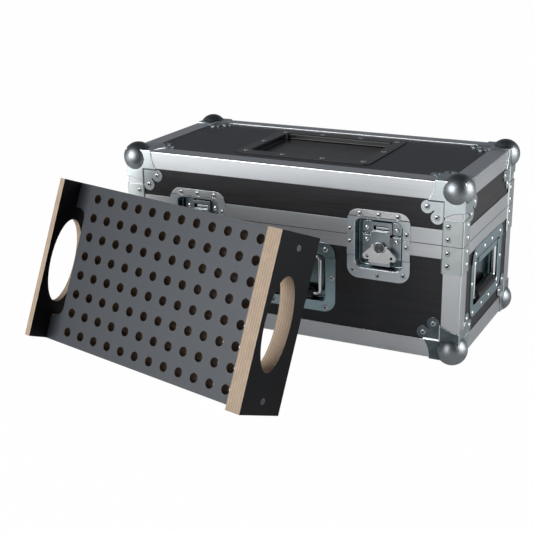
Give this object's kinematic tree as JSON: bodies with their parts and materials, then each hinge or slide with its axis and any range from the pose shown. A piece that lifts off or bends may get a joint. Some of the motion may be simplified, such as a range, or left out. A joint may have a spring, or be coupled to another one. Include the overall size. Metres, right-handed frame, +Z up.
{
  "type": "truss spigot case",
  "caption": "Road case with aluminium edges, ball corners, butterfly latches and spring handles, beside its perforated plywood tray for truss spigots.",
  "frame": {"origin": "middle of the floor board's underside; the edge profiles reach 1.5 mm lower and the ball corners 12.8 mm lower", "axes": "+X to the right along the case's length, +Y to the hinged back, +Z up"},
  "size_m": [0.6805, 0.6667, 0.3156],
  "materials": {
    "black_board": "black phenolic film over plywood, fine horizontal grain, semi-matt",
    "birch": "birch plywood edges, with black film on the faces",
    "aluminium": "satin anodised extrusion with fine lines along its length",
    "zinc_steel": "bright zinc plated pressed steel, slightly blue",
    "bright_steel": "polished plated steel",
    "dark_steel": "dark turned steel",
    "rubber": "smooth black rubber",
    "black_coat": "semi-gloss black powder coat"
  },
  "bodies": {
    "base": {"base_floor_panel": "black_board", "base_front_panel": "black_board", "base_back_panel": "black_board", "base_end_panels": "black_board", "base_long_angles": "aluminium", "base_end_angles": "aluminium", "base_upright_angles": "aluminium", "base_closing_rails": "aluminium", "base_ball_corners": "zinc_steel", "base_corner_braces": "zinc_steel", "base_rivets": "zinc_steel", "latch_left_dish": "zinc_steel", "latch_right_dish": "zinc_steel", "latch_left_cam_plate": "zinc_steel", "latch_right_cam_plate": "zinc_steel", "hinge_left_base_leaf": "zinc_steel", "hinge_right_base_leaf": "zinc_steel", "hinge_left_pin": "zinc_steel", "hinge_right_pin": "zinc_steel", "accessory_divider": "black_board", "divider_battens": "birch", "front_handle_dish": "zinc_steel", "left_handle_dish": "zinc_steel", "right_handle_dish": "zinc_steel", "handle_pivot_plates": "zinc_steel", "handle_springs": "zinc_steel"},
    "lid": {"lid_top_panel": "black_board", "lid_front_panel": "black_board", "lid_back_panel": "black_board", "lid_end_panels": "black_board", "lid_long_angles": "aluminium", "lid_end_angles": "aluminium", "lid_upright_angles": "aluminium", "lid_closing_rails": "aluminium", "lid_ball_corners": "zinc_steel", "lid_corner_braces": "zinc_steel", "lid_rivets": "zinc_steel", "label_dish": "black_coat", "latch_left_keeper_dish": "zinc_steel", "latch_right_keeper_dish": "zinc_steel", "latch_left_strike": "zinc_steel", "latch_right_strike": "zinc_steel", "hinge_left_lid_leaf": "zinc_steel", "hinge_right_lid_leaf": "zinc_steel"},
    "tray": {"tray_panel": "black_board", "tray_end_left": "birch", "tray_end_right": "birch", "tray_screws": "zinc_steel"},
    "latch_left_spindle": {"latch_left_spindle": "dark_steel"},
    "latch_left_wing": {"latch_left_wing": "bright_steel"},
    "latch_left_hook": {"latch_left_hook": "zinc_steel"},
    "latch_right_spindle": {"latch_right_spindle": "dark_steel"},
    "latch_right_wing": {"latch_right_wing": "bright_steel"},
    "latch_right_hook": {"latch_right_hook": "zinc_steel"},
    "front_handle_bail": {"front_handle_bail": "bright_steel", "front_handle_grip": "rubber"},
    "left_handle_bail": {"left_handle_bail": "bright_steel", "left_handle_grip": "rubber"},
    "right_handle_bail": {"right_handle_bail": "bright_steel", "right_handle_grip": "rubber"}
  },
  "joints": [
    {"name": "lid_hinge", "type": "hinge", "parent": "base", "child": "lid", "pos_m": [0, 0.1547, 0.189], "axis": [-1, 0, 0], "range_deg": [0, 100]},
    {"name": "latch_left_turn", "type": "hinge", "parent": "base", "child": "latch_left_spindle", "pos_m": [-0.1647, -0.15, 0.1699], "axis": [0, -1, 0], "range_deg": [0, 180]},
    {"name": "latch_left_fold", "type": "hinge", "parent": "latch_left_spindle", "child": "latch_left_wing", "pos_m": [-0.1647, -0.144, 0.1715], "axis": [-1, 0, 0], "range_deg": [0, 90]},
    {"name": "latch_left_draw", "type": "slide", "parent": "base", "child": "latch_left_hook", "axis": [0, 0, 1], "range_m": [0, 0.008]},
    {"name": "latch_right_turn", "type": "hinge", "parent": "base", "child": "latch_right_spindle", "pos_m": [0.1647, -0.15, 0.1699], "axis": [0, -1, 0], "range_deg": [0, 180]},
    {"name": "latch_right_fold", "type": "hinge", "parent": "latch_right_spindle", "child": "latch_right_wing", "pos_m": [0.1647, -0.144, 0.1715], "axis": [-1, 0, 0], "range_deg": [0, 90]},
    {"name": "latch_right_draw", "type": "slide", "parent": "base", "child": "latch_right_hook", "axis": [0, 0, 1], "range_m": [0, 0.008]},
    {"name": "front_handle_swing", "type": "hinge", "parent": "base", "child": "front_handle_bail", "pos_m": [0, -0.1446, 0.142], "axis": [-1, 0, 0], "range_deg": [0, 90], "stiffness_Nm_per_rad": 0.05},
    {"name": "left_handle_swing", "type": "hinge", "parent": "base", "child": "left_handle_bail", "pos_m": [-0.2976, 0, 0.142], "axis": [0, 1, 0], "range_deg": [0, 90], "stiffness_Nm_per_rad": 0.05},
    {"name": "right_handle_swing", "type": "hinge", "parent": "base", "child": "right_handle_bail", "pos_m": [0.2976, 0, 0.142], "axis": [0, -1, 0], "range_deg": [0, 90], "stiffness_Nm_per_rad": 0.05},
    {"name": "tray_lift", "type": "slide", "parent": "base", "child": "tray", "axis": [0, 0, 1], "range_m": [0, 0.35]}
  ],
  "couplings": [
    {"joint": "latch_left_turn", "follows": "latch_left_draw", "rad_per_m": 392.69},
    {"joint": "latch_right_turn", "follows": "latch_right_draw", "rad_per_m": 392.69}
  ]
}
